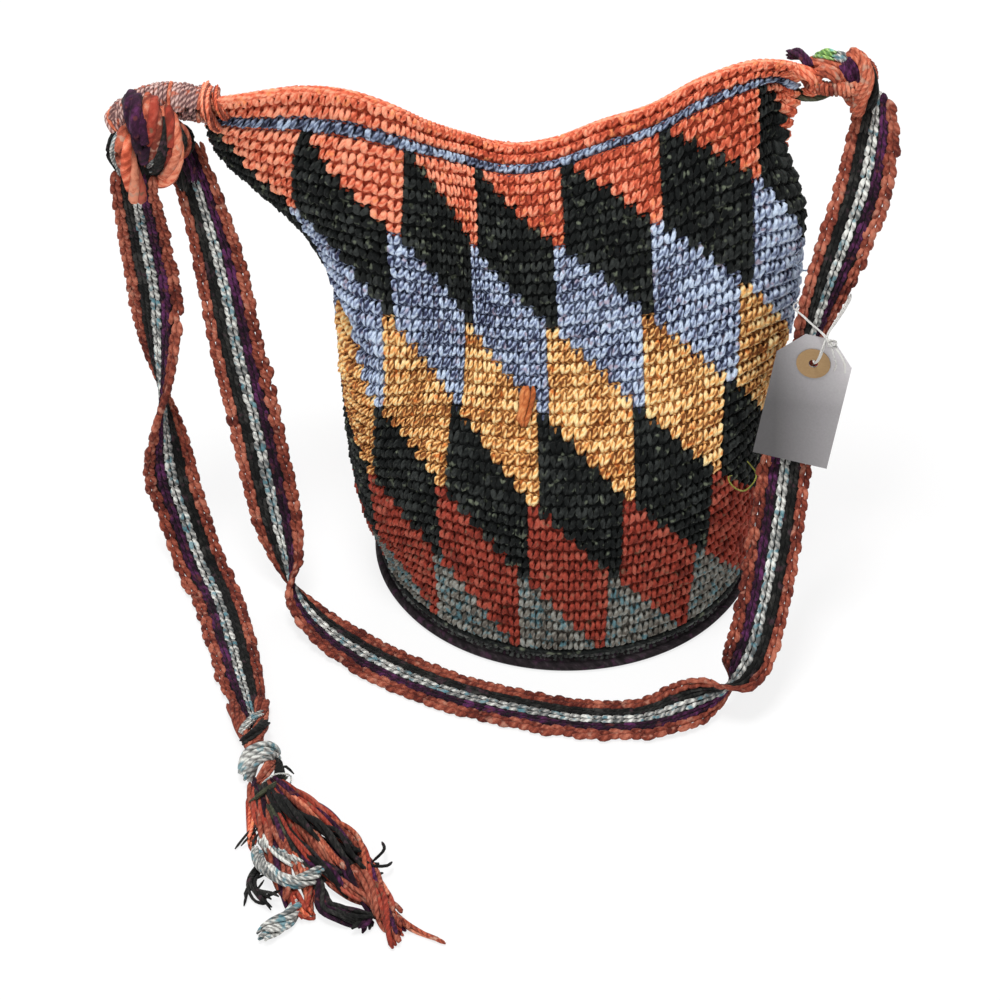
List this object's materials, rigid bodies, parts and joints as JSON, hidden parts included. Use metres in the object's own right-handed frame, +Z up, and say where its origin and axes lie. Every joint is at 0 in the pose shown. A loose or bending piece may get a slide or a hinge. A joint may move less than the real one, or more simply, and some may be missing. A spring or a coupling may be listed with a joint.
{
  "type": "bucket shoulder bag",
  "caption": "Crocheted bucket bag with a round base, pulled-in mouth, long striped strap knotted on at the left, a tassel and a bare paper tag.",
  "frame": {"origin": "middle of the round base, on the surface that the bag stands on", "axes": "+Z up, -Y the front of the bag that the picture shows, +X the picture's right"},
  "size_m": [0.4284, 0.4353, 0.3468],
  "materials": {
    "crochet_yarn": "matte crocheted cotton yarn in seven colours",
    "loop_yarn": "matte wound cotton yarn",
    "strap_webbing": "matte woven cotton band with five stripes",
    "whipping_yarn": "matte white and teal cotton yarn",
    "fringe_yarn": "matte loose cotton warp ends",
    "tag_card": "matte white card",
    "tag_ring_paper": "matte tan card ring",
    "tag_string": "thin white cotton string"
  },
  "bodies": {
    "root": {"crochet_body": "crochet_yarn", "left_wrapped_loop": "loop_yarn", "right_rim_loop": "loop_yarn", "shoulder_strap": "strap_webbing", "tassel_whipping": "whipping_yarn", "fringe_yarn_1": "fringe_yarn", "fringe_yarn_2": "fringe_yarn", "fringe_yarn_3": "fringe_yarn", "fringe_yarn_4": "fringe_yarn", "fringe_yarn_5": "fringe_yarn", "fringe_yarn_6": "fringe_yarn", "fringe_yarn_7": "fringe_yarn", "fringe_yarn_8": "fringe_yarn", "fringe_yarn_9": "fringe_yarn", "hang_tag": "tag_card", "tag_ring": "tag_ring_paper", "tag_string": "tag_string"}
  },
  "joints": []
}
